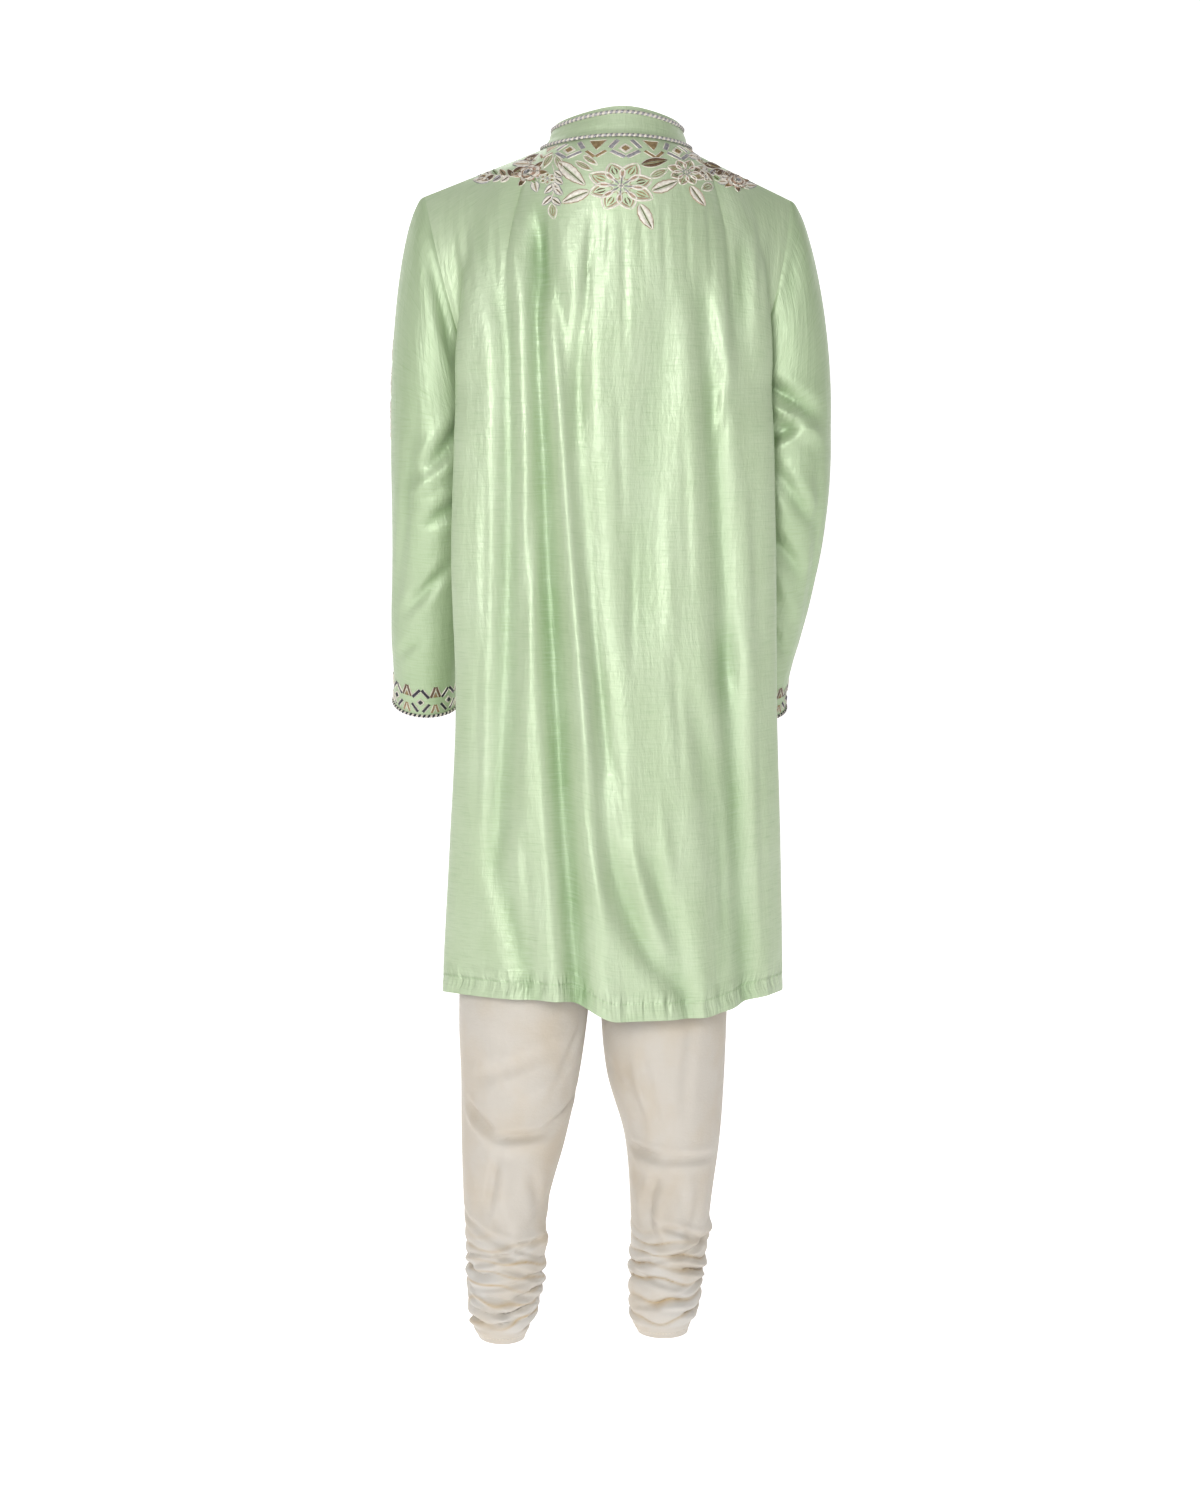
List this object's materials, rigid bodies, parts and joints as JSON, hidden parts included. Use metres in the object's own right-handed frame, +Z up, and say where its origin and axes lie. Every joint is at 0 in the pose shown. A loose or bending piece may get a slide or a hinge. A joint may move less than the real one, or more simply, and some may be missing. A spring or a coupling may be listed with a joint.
{
  "type": "kurta set",
  "caption": "Knee-length silk kurta with a stand collar and embroidered yoke and cuffs, over a churidar gathered at the ankles, both hollow and shaped as worn.",
  "frame": {"origin": "middle of the neck opening at the height of the high shoulder points, where the wearer's shoulders hold the kurta up", "axes": "+Z up, -Y out of the front of the garment, +X towards the wearer's left"},
  "size_m": [0.5668, 0.2924, 1.5691],
  "materials": {
    "mint_silk": "satin",
    "cream_cotton": "matte",
    "silver_cord": "metallic thread",
    "gold_thread": "metallic thread",
    "ivory_thread": "silk thread",
    "pale_button": "gloss"
  },
  "bodies": {
    "root": {"kurta_back": "mint_silk", "kurta_front": "mint_silk", "sleeve_left": "mint_silk", "sleeve_right": "mint_silk", "stand_collar": "mint_silk", "churidar_leg_left": "cream_cotton", "churidar_leg_right": "cream_cotton", "churidar_waist": "cream_cotton", "neck_seam_cord": "silver_cord", "collar_top_cord": "silver_cord", "cuff_band_left": "ivory_thread", "cuff_band_right": "ivory_thread", "cuff_cord_left": "silver_cord", "cuff_cord_right": "silver_cord", "neck_band_back": "gold_thread", "neck_band_front_left": "gold_thread", "neck_band_front_right": "gold_thread", "yoke_flower_large": "ivory_thread", "yoke_flower_small": "ivory_thread", "yoke_leaf_upper_left": "ivory_thread", "yoke_leaf_lower_left": "ivory_thread", "yoke_leaf_lower_right": "ivory_thread", "yoke_leaf_right": "ivory_thread", "yoke_leaf_under_flower": "ivory_thread", "yoke_leaf_over_flower": "ivory_thread", "yoke_sprig_left": "ivory_thread", "yoke_bud_left": "ivory_thread", "shoulder_rose_left": "gold_thread", "shoulder_spray_left": "ivory_thread", "shoulder_spray_right": "ivory_thread", "shoulder_rose_right": "gold_thread", "sleeve_applique_left": "gold_thread", "front_placket": "mint_silk", "button_1": "pale_button", "button_2": "pale_button", "button_3": "pale_button", "button_4": "pale_button"}
  },
  "joints": []
}
